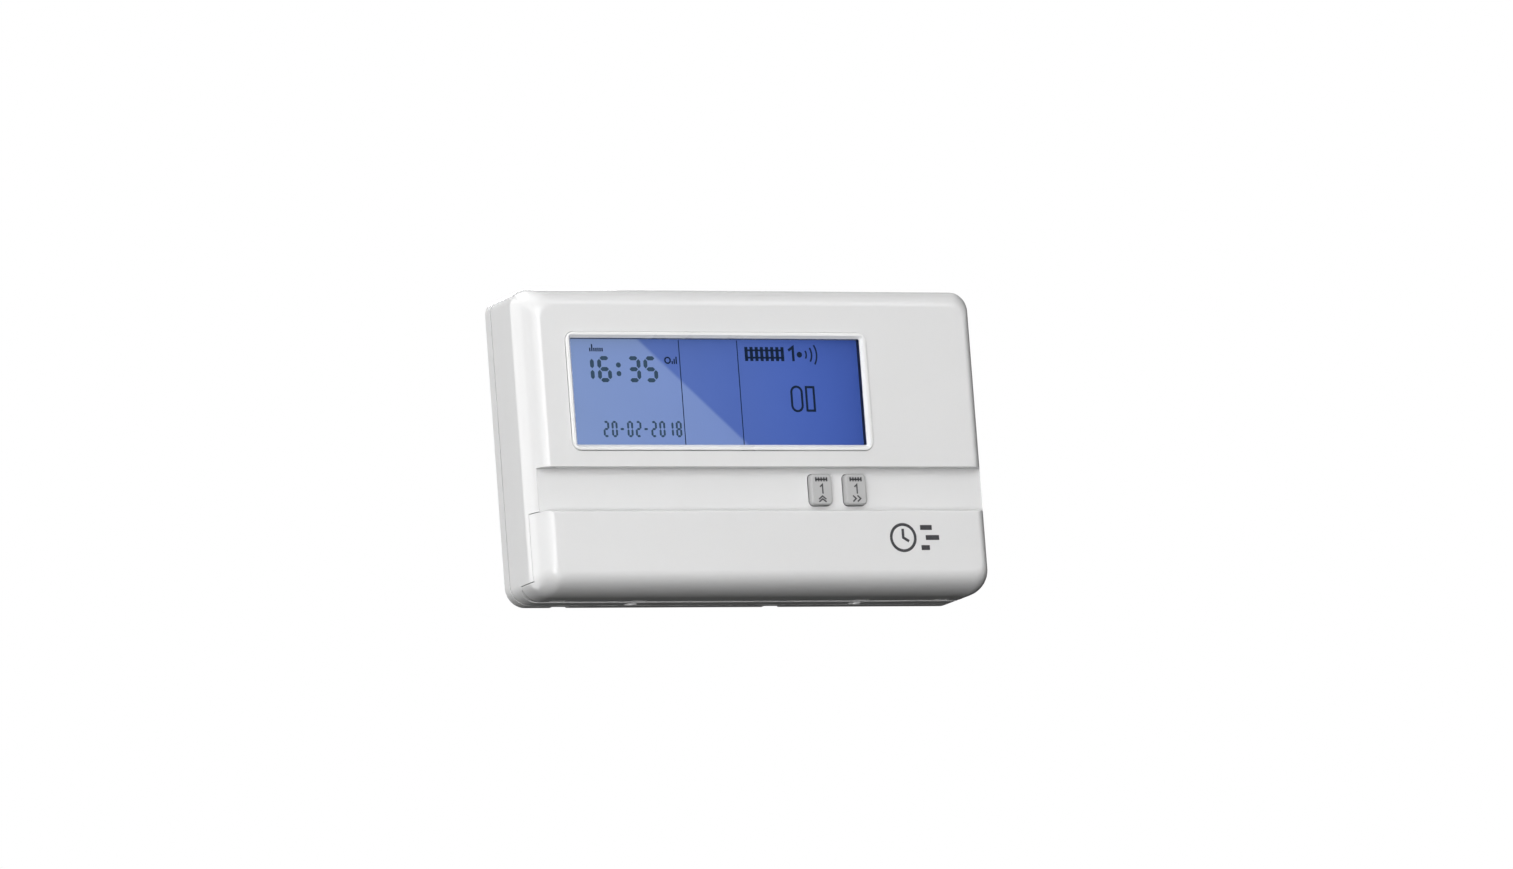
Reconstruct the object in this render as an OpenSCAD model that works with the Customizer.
// Wall-mounted heating programmer: a two-piece casing with a backlit display,
// two front keys and a drop-down flap over the setting controls. The rear plugs
// onto a wall plate with screw terminals.
// Millimetres. The wall is the plane y = 0, the front faces -Y, +Z is up and the
// origin is the centre of the back.

/* [Casing] */
// Overall width
case_w = 161; // [159:1:164]
// Overall height
case_h = 100; // [99:1:102]
// Depth from the wall to the front face
case_d = 31; // [31:0.5:32]
// Wall thickness of the mouldings
wall = 2; // [1.8:0.1:2.2]
// Radius of the outline's top corners, seen from the front
corner_top_r = 5; // [4.5:0.5:6]
// Radius of the outline's bottom corners
corner_low_r = 6.5; // [6:0.5:7.5]
// Radius of the flat front face's top corners
face_top_r = 6; // [5:0.5:7]
// Radius of the flat front face's bottom corners
face_low_r = 3; // [2.5:0.5:4]
// How far the rounding of the front edge reaches in from the sides
edge_side_in = 5.5; // [5:0.5:6]
// How far the rounding of the front edge reaches in from the top and the bottom
edge_end_in = 7; // [6.5:0.5:7.5]
// How far the rounding of the front edge reaches back from the front face
edge_back = 12; // [11:0.5:12.5]
// Distance from the wall to the seam between the two covers
rim_d = 4.2; // [4:0.1:4.4]
// Width of that seam
seam_gap = 0.5; // [0.4:0.1:0.6]

/* [Display] */
// Width of the raised bezel
bezel_w = 106.6; // [105:0.1:107]
// Height of the raised bezel
bezel_h = 38.6; // [37.5:0.1:38.8]
// Width of the bezel's flat rim
bezel_rim = 1.2; // [1.1:0.1:1.4]
// How far the bezel stands out from the front face
bezel_rise = 0.7; // [0.4:0.1:1]
// Bezel centre, sideways from the middle of the casing
bezel_x = -13.9; // [-14.5:0.1:-13.6]
// Bezel centre, above the middle of the casing
bezel_z = 15.2; // [15:0.1:15.4]

/* [Front keys] */
// Bottom of the channel the two front keys stand in
channel_z0 = -23.3; // [-23.6:0.1:-23.2]
// Top of the channel
channel_z1 = -9.3; // [-9.6:0.1:-9.1]
// Depth of the channel
channel_d = 3.9; // [3.7:0.1:3.9]
// Distance of the channel's ends from the middle of the casing
channel_x = 78.9; // [78.5:0.1:79]
// Width of a front key
key_w = 7.5; // [7:0.1:8]
// Height of a front key
key_h = 10.1; // [10:0.1:10.5]
// How far a front key stands out of the channel's floor
key_rise = 2.3; // [2:0.1:2.6]
// Centre of the boost key
boost_x = 20.7; // [19.5:0.1:21]
// Centre of the advance key
advance_x = 33; // [32:0.1:33.5]

/* [Flap] */
// Thickness of the flap
flap_t = 1.8; // [1.6:0.1:2]
// Radius of the flap's top front edge
flap_edge_r = 1; // [0.8:0.1:1.2]
// Gap round the flap
flap_gap = 0.2; // [0.15:0.05:0.25]
// Where the flap's side edges end, measured from the wall
flap_side_y = 22; // [21:0.5:23]
// Distance of the hinge axis from the wall
hinge_y = 12.25; // [12:0.05:12.5]
// Radius of the hinge pins
hinge_pin_r = 1; // [0.9:0.05:1.1]
// Radial play of the hinge pins
hinge_play = 0.05; // [0.04:0.01:0.08]

/* [Controls] */
// Travel of every key
key_travel = 0.6; // [0.3:0.1:0.6]
// Travel of the mode slider to each side
slider_travel = 6; // [4:0.5:6]
// Pitch of the six setting keys
setting_pitch = 12; // [11:0.5:12]

/* [Wall plate] */
// Distance between the two wall fixing slots
fixing_pitch = 60.3; // [58:0.1:62]
// Radius of the rounded ends of a fixing slot
fixing_r = 2.3; // [2:0.1:2.5]
// Overall length of a fixing slot
fixing_slot_l = 9; // [7:0.5:10]
// Pitch of the terminals
terminal_pitch = 12; // [11.5:0.1:12]

/* [Hidden] */
$fn = 48;
eps = 0.01;

// Number of straight steps in a quarter turn of a rounded corner
corner_steps = 10;
// Number of steps in the front edge rounding
edge_steps = 10;
// Beyond every face of the casing
far = 200;

// Casing
cover_back = rim_d + seam_gap / 2;
corner_rs = [corner_top_r, corner_low_r];
face_rs = [face_top_r, face_low_r];
least_inner_r = [1.5, 1.5];
least_reach = 0.5;
lip_front = 7.5;
recess_in = 4;
floor_t = 2;

// Hinge: the barrel is tangent to the underside and to the flap's inner face
hinge_z = case_h / 2 - flap_t;
lug_xs = [-68.5, -39.7, 39.7, 68.5];
lug_w = 4.4;
lug_gap = 0.2;
// Room behind the barrel, so that the open flap can lean past hanging straight down
open_lean = 0.3;
flap_low_z = 45;

// Display stack, as distances from the wall to each front face
lens_y = case_d - 0.7;
lcd_y = case_d - 2.9;
guide_y = case_d - 5.2;
board_y = 21.3;
board_t = 1.6;
board_back = board_y - board_t;
window_w = bezel_w - 2 * bezel_rim - 1.5;
window_h = bezel_h - 2 * bezel_rim - 1.5;

// Keys
key_play = 0.2;
key_z = (channel_z0 + channel_z1) / 2 - 0.1;
key_top = case_d - channel_d + key_rise;
plunger_y = 23.2;
stem_y = plunger_y + key_travel + 0.05;
setting_z = -32;
setting_x0 = -22;
setting_w = 8;
setting_h = 5.2;
setting_top = 28.4;
reset_x = -60;
reset_r = 1.3;
slider_x = -43;

// Back-up cell
cell_x = -54;
cell_z = -25;

// Boards and their fixings
power_y = 15.2;
power_x0 = -44;
power_x1 = 74;
power_z0 = -36;
power_z1 = 38;
cover_fixings = [[-71.5, 41.5], [71.5, 41.5], [-70, -39.5], [70, -39.5]];
display_fixings = [
    [44.4, 33, 1], [43.3, -38.1, recess_in + 1],
    [-63, -38.1, recess_in + 1], [-62.5, -13, channel_d + 1]
];
power_fixings = [[-40, 34], [-40, -32], [44, -32]];

// Wall plate and its pocket
pocket_w = 96;
pocket_z0 = -41.7;
pocket_z1 = 41;
pocket_d = 10;
plate_gap = 0.2;
terminal_count = 7;
terminal_z = 26.5;
wire_y = 4.3;
blade_z0 = 14;
blade_z1 = 20;
blade_t = 0.8;
retainer_x = 40;
retainer_y = 7.1;

case_white = [0.87, 0.87, 0.86];
key_grey = [0.76, 0.76, 0.75];
board_green = [0.1, 0.4, 0.22];
metal_grey = [0.72, 0.73, 0.75];
brass = [0.8, 0.64, 0.3];
dark = [0.15, 0.15, 0.16];

// Points of a rounded rectangle, counter-clockwise. rs: one radius or [top, bottom]
function rounded(w, h, rs) = [
    for (c = [0 : 3])
        for (i = [0 : corner_steps])
            let (a = 90 * (c + i / corner_steps))
            let (sx = (c == 0 || c == 3) ? 1 : -1)
            let (sz = (c < 2) ? 1 : -1)
            let (r = is_num(rs) ? rs : rs[c < 2 ? 0 : 1])
            [sx * (w / 2 - r) + r * cos(a), sz * (h / 2 - r) + r * sin(a)]
];

// The outline's corner radii after moving it inwards
function inner_rs(inset) = [
    for (i = [0 : 1])
        max(corner_rs[i] - inset, least_inner_r[i])
];

// A plate parallel to the wall, between two distances from it
module plate(w, h, rs, back, front) {
    translate([0, -back, 0])
        rotate([90, 0, 0])
            linear_extrude(front - back)
                polygon(rounded(w, h, rs));
}

// A plate with the casing's outline moved inwards
module outline_plate(inset, back, front) {
    plate(case_w - 2 * inset, case_h - 2 * inset, inner_rs(inset), back, front);
}

// A box between two x values, two distances from the wall and two heights
module box(x0, x1, back, front, z0, z1) {
    translate([x0, -front, z0])
        cube([x1 - x0, front - back, z1 - z0]);
}

// A round post square to the wall
module post(x, z, r, back, front) {
    translate([x, -back, z])
        rotate([90, 0, 0])
            cylinder(h = front - back, r = r);
}

// A round bar running sideways
module bar_x(y, z, r, x0, x1) {
    translate([x0, -y, z])
        rotate([0, 90, 0])
            cylinder(h = x1 - x0, r = r);
}

// A round bar running upwards
module bar_z(x, y, r, z0, z1) {
    translate([x, -y, z0])
        cylinder(h = z1 - z0, r = r);
}

// A solid through rounded rectangles [width, height, corner radii, distance from the wall]
module loft(sections) {
    n = 4 * (corner_steps + 1);
    last = len(sections) - 1;
    points = [
        for (s = sections)
            for (p = rounded(s[0], s[1], s[2]))
                [p[0], -s[3], p[1]]
    ];
    walls = [
        for (k = [0 : last - 1])
            for (i = [0 : n - 1])
                let (j = (i + 1) % n)
                for (t = [[k * n + i, k * n + j, (k + 1) * n + j],
                          [k * n + i, (k + 1) * n + j, (k + 1) * n + i]])
                    [t[2], t[1], t[0]]
    ];
    back_face = [for (i = [0 : n - 1]) i];
    front_face = [for (i = [n - 1 : -1 : 0]) last * n + i];
    polyhedron(points, concat([back_face, front_face], walls));
}

// The casing's outer form moved inwards by a distance, from a back plane to its rounded front
module casing_form(inset, back) {
    side_reach = max(edge_side_in - inset, least_reach);
    end_reach = max(edge_end_in - inset, least_reach);
    depth = edge_back - inset;
    outer_rs = inner_rs(inset);
    rounding = [
        for (k = [0 : edge_steps])
            let (a = 90 * k / edge_steps)
            let (turn = 1 - cos(a))
            [
                case_w - 2 * (inset + side_reach * turn),
                case_h - 2 * (inset + end_reach * turn),
                [
                    for (i = [0 : 1])
                        outer_rs[i] * cos(a) + max(face_rs[i] - inset / 2, 1) * turn
                ],
                case_d - inset - depth * (1 - sin(a))
            ]
    ];
    loft(concat([[case_w - 2 * inset, case_h - 2 * inset, outer_rs, back]], rounding));
}

// Room for the flap, grown towards the wall and, by less, towards the channel
module flap_room(grow) {
    gap = flap_gap + grow;
    box(-far, far, flap_side_y - grow, far, -far, channel_z0 + 0.6 * grow);
    box(-far, far, hinge_y - gap, far, -far, -flap_low_z + grow);
    bar_x(hinge_y, -hinge_z, flap_t + gap, -far, far);
    box(-far, far, hinge_y - flap_t - gap - open_lean, far, -far, -hinge_z);
}

// Room for the channel of the front keys, optionally grown all round
module channel_room(grow) {
    box(
        -channel_x - grow, channel_x + grow, case_d - channel_d - grow, far,
        channel_z0 - 1 - grow, channel_z1 + grow
    );
}

// A key: domed cap through a panel, a flange behind the panel and a stem to its switch
module push_key(x, z, w, h, top, panel_back) {
    flange_front = panel_back - 0.15;
    flange_back = panel_back - 0.85;
    translate([x, 0, z]) {
        loft([
            [w, h, 1.4, flange_front - eps],
            [w, h, 1.4, top - 0.7],
            [w - 0.2, h - 0.2, 1.3, top - 0.35],
            [w - 0.7, h - 0.7, 1.1, top - 0.08],
            [w - 1.4, h - 1.4, 0.9, top]
        ]);
        plate(w + 2, h - 0.4, 1, flange_back, flange_front);
        post(0, 0, 1.4, stem_y, flange_back + eps);
    }
}

// The hole in a panel for a key
module key_hole(x, z, w, h) {
    translate([x, 0, z])
        plate(w + 2 * key_play, h + 2 * key_play, 1.6, board_y, far);
}

function setting_x(i) = setting_x0 + setting_pitch * i;

module setting_key(i) {
    push_key(
        setting_x(i), setting_z, setting_w, setting_h, setting_top, case_d - recess_in - wall
    );
}

module cover_shell() {
    difference() {
        casing_form(0, cover_back);
        difference() {
            flap_room(0);
            casing_form(recess_in, 0);
        }
        channel_room(0);
        difference() {
            casing_form(wall, 0);
            difference() {
                flap_room(wall);
                casing_form(recess_in + wall, -1);
            }
            channel_room(wall);
        }
    }
}

module hinge_lugs() {
    for (x = lug_xs) {
        bar_x(hinge_y, -hinge_z, flap_t - 0.1, x - lug_w / 2, x + lug_w / 2);
        box(
            x - lug_w / 2, x + lug_w / 2, hinge_y - 1.6, hinge_y + 1.6,
            -hinge_z, -case_h / 2 + recess_in + 1
        );
    }
}

module front_cover() {
    color(case_white)
        difference() {
            union() {
                cover_shell();
                hinge_lugs();
                for (f = cover_fixings)
                    post(f[0], f[1], 3.2, 7.1, case_d - wall + 0.5 - (f[1] > 0 ? 0 : recess_in));
                for (f = display_fixings)
                    post(f[0], f[1], 2.4, board_y + 0.05, case_d - f[2]);
            }
            translate([bezel_x, 0, bezel_z])
                plate(bezel_w + 0.2, bezel_h + 0.2, 3.1, board_y, far);
            for (x = [boost_x, advance_x])
                key_hole(x, key_z, key_w, key_h);
            for (i = [0 : 5])
                key_hole(setting_x(i), setting_z, setting_w, setting_h);
            translate([slider_x, 0, setting_z])
                plate(2 * slider_travel + 3.6, 3.6, 1, board_y, far);
            post(reset_x, setting_z, reset_r + 0.2, board_y, far);
            for (f = cover_fixings)
                post(f[0], f[1], 1.2, 7, 20);
            for (f = display_fixings)
                post(f[0], f[1], 0.9, board_y, board_y + 4);
            for (x = lug_xs)
                bar_x(hinge_y, -hinge_z, hinge_pin_r + hinge_play, x - lug_w, x + lug_w);
            for (s = [-1, 1])
                bar_z(s * retainer_x, retainer_y, 2.2, -far, -43.8);
        }
}

// The flap's curved shell, from the channel to its hinge
module flap_shell() {
    top = channel_z0 - flap_gap;
    difference() {
        casing_form(0, hinge_y - 1);
        casing_form(flap_t, hinge_y - 2);
        box(-far, far, -far, far, top, far);
        box(-far, far, -far, flap_side_y + flap_gap, -flap_low_z - flap_gap, far);
        box(-far, far, -far, hinge_y, -far, far);
        difference() {
            box(-far, far, case_d - flap_edge_r, far, top - flap_edge_r, far);
            bar_x(case_d - flap_edge_r, top - flap_edge_r, flap_edge_r, -far, far);
        }
    }
}

module flap() {
    pin_end = 1.6;
    pin_root = lug_w / 2 + lug_gap + 1;
    color(case_white)
        difference() {
            union() {
                flap_shell();
                intersection() {
                    bar_x(hinge_y, -hinge_z, flap_t - 0.02, -far, far);
                    casing_form(0.02, 0);
                }
            }
            for (x = lug_xs)
                box(
                    x - lug_w / 2 - lug_gap, x + lug_w / 2 + lug_gap, 0, hinge_y + 2.4,
                    -far, 0
                );
        }
    color(case_white)
        for (x = lug_xs)
            if (x < 0)
                bar_x(hinge_y, -hinge_z, hinge_pin_r, x - pin_end, x + pin_root);
            else
                bar_x(hinge_y, -hinge_z, hinge_pin_r, x - pin_root, x + pin_end);
}

module rear_cover() {
    lip_in = wall + 0.15;
    lip_t = 1.5;
    color(case_white)
        difference() {
            union() {
                difference() {
                    union() {
                        outline_plate(0, 0, rim_d - seam_gap / 2);
                        outline_plate(lip_in, floor_t, lip_front);
                    }
                    outline_plate(lip_in + lip_t, floor_t, far);
                }
                box(
                    -pocket_w / 2 - wall, pocket_w / 2 + wall, 0, pocket_d + floor_t,
                    pocket_z0 - wall, pocket_z1 + wall
                );
                for (f = cover_fixings)
                    post(f[0], f[1], 4, 0, 7);
                for (f = power_fixings)
                    post(f[0], f[1], 2.4, pocket_d, power_y - board_t - 0.05);
            }
            box(-pocket_w / 2, pocket_w / 2, -1, pocket_d, pocket_z0, pocket_z1);
            for (i = [1 : terminal_count - 1])
                box(
                    terminal_x(i) - 0.8, terminal_x(i) + 0.8, 0, far,
                    blade_z0 - 0.5, blade_z1 + 0.5
                );
            for (f = cover_fixings) {
                post(f[0], f[1], 3, -1, 3);
                post(f[0], f[1], 1.6, -1, 8);
            }
            for (f = power_fixings)
                post(f[0], f[1], 0.9, pocket_d + 0.6, far);
            for (s = [-1, 1]) {
                bar_z(s * retainer_x, retainer_y, 2.4, -far, pocket_z0 - 2.05);
                bar_z(s * retainer_x, retainer_y, 1.6, -far, 0);
                for (i = [-3 : 3])
                    box(s * 62 - 7, s * 62 + 7, -1, floor_t + 1, 5 * i - 1, 5 * i + 1);
            }
            for (x = [-62.4, 12.85])
                box(x - 2.75, x + 2.75, -1, 2, -case_h / 2 - 1, -case_h / 2 + 2);
        }
}

module display_bezel() {
    inner_w = bezel_w - 2 * bezel_rim;
    inner_h = bezel_h - 2 * bezel_rim;
    color([0.93, 0.93, 0.92])
        translate([bezel_x, 0, bezel_z])
            difference() {
                union() {
                    loft([
                        [bezel_w, bezel_h, 3, lcd_y + 0.1],
                        [bezel_w, bezel_h, 3, case_d + bezel_rise - 0.35],
                        [bezel_w - 0.25, bezel_h - 0.25, 2.9, case_d + bezel_rise - 0.1],
                        [bezel_w - 0.7, bezel_h - 0.7, 2.7, case_d + bezel_rise]
                    ]);
                    plate(bezel_w + 4, bezel_h + 4, 3, lcd_y + 0.1, case_d - wall - 0.1);
                }
                loft([
                    [window_w + 0.1, window_h + 0.1, 0.6, lcd_y - 1],
                    [window_w + 0.1, window_h + 0.1, 0.6, lens_y + 0.3],
                    [inner_w, inner_h, 0.9, case_d + bezel_rise - 0.2],
                    [inner_w + 0.4, inner_h + 0.4, 1, case_d + bezel_rise + 0.2]
                ]);
            }
}

module display_lens() {
    color([0.7, 0.8, 0.95, 0.5])
        translate([bezel_x, 0, bezel_z])
            plate(window_w - 0.1, window_h - 0.1, 0.5, lcd_y + 0.1, lens_y);
}

module lcd_glass() {
    color([0.3, 0.42, 0.78])
        translate([bezel_x, 0, bezel_z])
            plate(bezel_w - 1.3, bezel_h - 0.5, 0.5, guide_y + 0.1, lcd_y);
}

module light_guide() {
    color([0.75, 0.85, 1])
        translate([bezel_x, 0, bezel_z])
            plate(window_w - 3.5, window_h - 1.7, 0.8, board_y + 0.9, guide_y);
}

module lcd_holder() {
    color([0.95, 0.95, 0.93])
        translate([bezel_x, 0, bezel_z])
            difference() {
                plate(bezel_w + 3.7, bezel_h + 4.5, 1.5, board_y + 0.05, lcd_y);
                plate(bezel_w - 0.9, bezel_h - 0.1, 0.6, 0, far);
            }
}

module contact_strips() {
    color([0.85, 0.45, 0.6])
        translate([bezel_x, 0, bezel_z])
            for (s = [-1, 1])
                translate([0, 0, s * (bezel_h / 2 - 1.5)])
                    plate(bezel_w - 8, 1.8, 0.3, board_y + 0.02, guide_y + 0.08);
}

module backlight_leds() {
    color([0.95, 0.95, 0.85])
        for (i = [-1 : 1])
            box(
                bezel_x - window_w / 2 - 0.6, bezel_x - window_w / 2 + 1.2,
                board_y, board_y + 1.8,
                bezel_z + 10 * i - 1.6, bezel_z + 10 * i + 1.6
            );
}

module display_board() {
    color(board_green)
        difference() {
            box(-66, 47, board_back, board_y, -40.5, 38);
            for (f = display_fixings)
                post(f[0], f[1], 1.3, 0, far);
        }
}

module microcontroller() {
    color(dark)
        union() {
            box(-8, 6, board_back - 1.6, board_back - 0.1, 12, 26);
            for (i = [0 : 9])
                for (z = [10.8, 26 - eps])
                    box(
                        -7.35 + 1.35 * i, -6.85 + 1.35 * i, board_back - 0.5, board_back,
                        z, z + 1.2 + eps
                    );
        }
}

module tact_switch(x, z) {
    color(dark)
        union() {
            box(x - 3, x + 3, board_y, plunger_y - 0.4, z - 3, z + 3);
            post(x, z, 1.5, plunger_y - 0.4 - eps, plunger_y);
        }
}

module tact_switches() {
    tact_switch(boost_x, key_z);
    tact_switch(advance_x, key_z);
    for (i = [0 : 5])
        tact_switch(setting_x(i), setting_z);
    tact_switch(reset_x, setting_z);
}

module mode_switch() {
    color(metal_grey)
        difference() {
            box(
                slider_x - 11, slider_x + 11, board_y, board_y + 2.1,
                setting_z - 3.2, setting_z + 3.2
            );
            box(slider_x - 8, slider_x + 8, board_y + 0.8, far, setting_z - 1, setting_z + 1);
        }
}

module switch_lever() {
    color(dark)
        box(
            slider_x - 1.2, slider_x + 1.2, board_y + 0.9, board_y + 2.6,
            setting_z - 0.8, setting_z + 0.8
        );
}

module mode_slider() {
    panel = case_d - recess_in;
    color(key_grey)
        difference() {
            translate([slider_x, 0, setting_z])
                union() {
                    loft([
                        [7, 6.6, 1, panel + 0.15],
                        [7, 6.6, 1, panel + 1.1],
                        [6.2, 5.8, 0.8, panel + 1.5]
                    ]);
                    plate(3, 3, 0.8, panel - wall - 0.2, panel + 0.2);
                    plate(9, 7, 1, panel - wall - 1, panel - wall - 0.15);
                }
            for (i = [-1 : 1])
                box(
                    slider_x + 1.6 * i - 0.3, slider_x + 1.6 * i + 0.3, panel + 1.1, far,
                    -far, far
                );
        }
}

module boost_button() {
    color(key_grey)
        push_key(boost_x, key_z, key_w, key_h, key_top, case_d - channel_d - wall);
}

module advance_button() {
    color(key_grey)
        push_key(advance_x, key_z, key_w, key_h, key_top, case_d - channel_d - wall);
}

module minus_button() {
    color(key_grey)
        setting_key(0);
}

module plus_button() {
    color(key_grey)
        setting_key(1);
}

module ok_button() {
    color(key_grey)
        setting_key(2);
}

module day_button() {
    color(key_grey)
        setting_key(3);
}

module copy_button() {
    color(key_grey)
        setting_key(4);
}

module holiday_button() {
    color(key_grey)
        setting_key(5);
}

module reset_button() {
    panel_back = case_d - recess_in - wall;
    color(key_grey)
        union() {
            post(reset_x, setting_z, reset_r, stem_y, panel_back + 1.2);
            post(reset_x, setting_z, 2.4, panel_back - 0.85, panel_back - 0.15);
        }
}

module coin_cell() {
    color(metal_grey)
        union() {
            post(cell_x, cell_z, 10, 16, 18.4);
            post(cell_x, cell_z, 9, 18.4 - eps, 19.1);
        }
}

module cell_holder() {
    color(dark)
        difference() {
            post(cell_x, cell_z, 11.4, 15.8, board_back);
            post(cell_x, cell_z, 10.15, 0, 19.2);
            box(-far, cell_x - 5, 0, 19.2, cell_z - 4, cell_z + 4);
        }
}

module rf_module() {
    color(board_green)
        box(-64, -48, 16.2, 17.2, 4, 32);
    color(metal_grey)
        box(-62.5, -49.5, 13.8, 16.2 - eps, 8, 24);
    color(dark)
        box(-62, -50, 17.2 + eps, board_back, 5, 7.5);
}

module rf_antenna() {
    color([0.75, 0.2, 0.15])
        union() {
            bar_z(-60, 15.2, 0.7, 29, 44);
            translate([-60, -15.2, 44])
                sphere(r = 0.7);
            bar_x(15.2, 44, 0.7, -60, 14);
        }
}

module board_link() {
    color(dark)
        box(-12, 16, power_y + 0.05, board_back - 0.05, -32.3, -29.7);
}

module power_board() {
    color(board_green)
        difference() {
            box(power_x0, power_x1, power_y - board_t, power_y, power_z0, power_z1);
            for (f = power_fixings)
                post(f[0], f[1], 1.3, 0, far);
        }
}

module relay() {
    color([0.2, 0.35, 0.6])
        box(50.5, 70.5, power_y + 0.05, power_y + 12.2, 6, 21.5);
}

module suppression_capacitor() {
    color([0.85, 0.7, 0.2])
        box(50.5, 68.5, power_y + 0.05, power_y + 9.5, -7, 3.5);
}

module smoothing_capacitors() {
    color([0.12, 0.14, 0.2]) {
        post(56.5, 29.5, 5, power_y + 0.05, power_y + 12);
        post(67.5, 29, 4, power_y + 0.05, power_y + 10.5);
    }
}

module transformer() {
    color([0.85, 0.8, 0.3])
        box(50.5, 65.5, power_y + 2, power_y + 8.6, -27, -13);
    color(dark)
        difference() {
            box(48.5, 67.5, power_y + 0.05, power_y + 9, -29, -11);
            box(50.45, 65.55, power_y + 1.95, far, -27.05, -12.95);
        }
}

module fuse() {
    color(metal_grey)
        union() {
            bar_z(71, power_y + 3, 2.5, -28, -23);
            bar_z(71, power_y + 3, 2.2, -23 - eps, -17 + eps);
            bar_z(71, power_y + 3, 2.5, -17, -12);
        }
}

function terminal_x(i) = terminal_pitch * (i - (terminal_count - 1) / 2);

module contact_blades() {
    color(brass)
        for (i = [1 : terminal_count - 1])
            box(
                terminal_x(i) - blade_t / 2, terminal_x(i) + blade_t / 2,
                3, power_y - board_t, blade_z0, blade_z1
            );
}

module contact_springs() {
    leaf = 0.5;
    near = blade_t / 2 + 0.03;
    color([0.75, 0.5, 0.25])
        for (i = [1 : terminal_count - 1])
            translate([terminal_x(i), 0, 0]) {
                for (s = [-1, 1])
                    box(
                        s * (near + leaf / 2) - leaf / 2, s * (near + leaf / 2) + leaf / 2,
                        2.3, 9, blade_z0 + 0.5, blade_z1 - 0.5
                    );
                box(-near - leaf, near + leaf, 2.2, 2.6, blade_z0 + 0.5, 21.95);
            }
}

module terminals() {
    color(brass)
        for (i = [0 : terminal_count - 1])
            difference() {
                box(terminal_x(i) - 3.6, terminal_x(i) + 3.6, 2.2, 6.4, 22, 31);
                bar_z(terminal_x(i), wire_y, 1.5, 0, far);
                post(terminal_x(i), terminal_z, 1.3, wire_y, far);
            }
}

// A slotted or crossed head with its shank, square to the wall
module screw_y(x, z, head_r, shank_r, tip, head_back, head_front, towards_wall) {
    slot_from = towards_wall ? -1 : head_front - 0.8;
    slot_to = towards_wall ? head_back + 0.8 : far;
    difference() {
        union() {
            post(x, z, head_r, head_back, head_front);
            post(x, z, shank_r, min(tip, head_back + eps), max(tip, head_front - eps));
        }
        box(x - 0.4, x + 0.4, slot_from, slot_to, z - head_r * 0.8, z + head_r * 0.8);
        if (towards_wall)
            box(x - head_r * 0.8, x + head_r * 0.8, slot_from, slot_to, z - 0.4, z + 0.4);
    }
}

module terminal_screws() {
    color(metal_grey)
        for (i = [0 : terminal_count - 1])
            screw_y(terminal_x(i), terminal_z, 2.3, 1.25, 4.8, 6.45, 8.2, false);
}

module case_screws() {
    color(metal_grey)
        for (f = cover_fixings)
            screw_y(f[0], f[1], 2.7, 1.15, 18, 1, 2.95, true);
}

module board_screws() {
    color(metal_grey)
        for (f = display_fixings)
            screw_y(
                f[0], f[1], 2, 0.85, board_y + 3.5, board_back - 1.2, board_back - 0.02, true
            );
    color(metal_grey)
        for (f = power_fixings)
            screw_y(f[0], f[1], 2, 0.85, pocket_d + 1, power_y + 0.02, power_y + 1.2, false);
}

module fixing_slot(x) {
    half = fixing_slot_l / 2 - fixing_r;
    post(x - half, 0, fixing_r, -1, 3);
    post(x + half, 0, fixing_r, -1, 3);
    box(x - half, x + half, -1, 3, -fixing_r, fixing_r);
}

module wall_plate() {
    half_w = pocket_w / 2 - plate_gap;
    z0 = pocket_z0 + plate_gap;
    z1 = pocket_z1 - plate_gap;
    rim = 1.5;
    color([0.9, 0.9, 0.88])
        difference() {
            union() {
                difference() {
                    box(-half_w, half_w, 0, 8, z0, z1);
                    box(-half_w + rim, half_w - rim, 2, far, z0 + rim, z1 - rim);
                }
                box(-43, 43, 1, 9.4, 11, 35);
                for (s = [-1, 1])
                    box(s * retainer_x - 4, s * retainer_x + 4, 1, 9.7, z0, -31);
            }
            for (i = [0 : terminal_count - 1]) {
                box(terminal_x(i) - 4.6, terminal_x(i) + 4.6, 2.1, far, 12.5, 33.5);
                bar_z(terminal_x(i), wire_y, 1.9, 30, 37);
            }
            for (s = [-1, 1]) {
                fixing_slot(s * fixing_pitch / 2);
                bar_z(s * retainer_x, retainer_y, 1.55, -far, -32);
            }
            box(-16, 16, -1, far, -20, -2);
            for (x = [-30, -10, 10, 30])
                box(x - 6, x + 6, -1, far, 37, 38);
        }
}

module retaining_screws() {
    color(metal_grey)
        for (s = [-1, 1])
            difference() {
                union() {
                    bar_z(s * retainer_x, retainer_y, 2.1, -45.6, pocket_z0 - 2.1);
                    bar_z(s * retainer_x, retainer_y, 1.5, pocket_z0 - 2.2, -33);
                }
                box(
                    s * retainer_x - 1.7, s * retainer_x + 1.7,
                    retainer_y - 0.4, retainer_y + 0.4, -46, -44.8
                );
            }
}

front_cover();
rear_cover();
display_bezel();
display_lens();
lcd_glass();
light_guide();
lcd_holder();
contact_strips();
backlight_leds();
display_board();
microcontroller();
tact_switches();
mode_switch();
switch_lever();
mode_slider();
boost_button();
advance_button();
minus_button();
plus_button();
ok_button();
day_button();
copy_button();
holiday_button();
reset_button();
flap();
coin_cell();
cell_holder();
rf_module();
rf_antenna();
board_link();
power_board();
relay();
suppression_capacitor();
smoothing_capacitors();
transformer();
fuse();
contact_blades();
case_screws();
board_screws();
wall_plate();
terminals();
terminal_screws();
contact_springs();
retaining_screws();
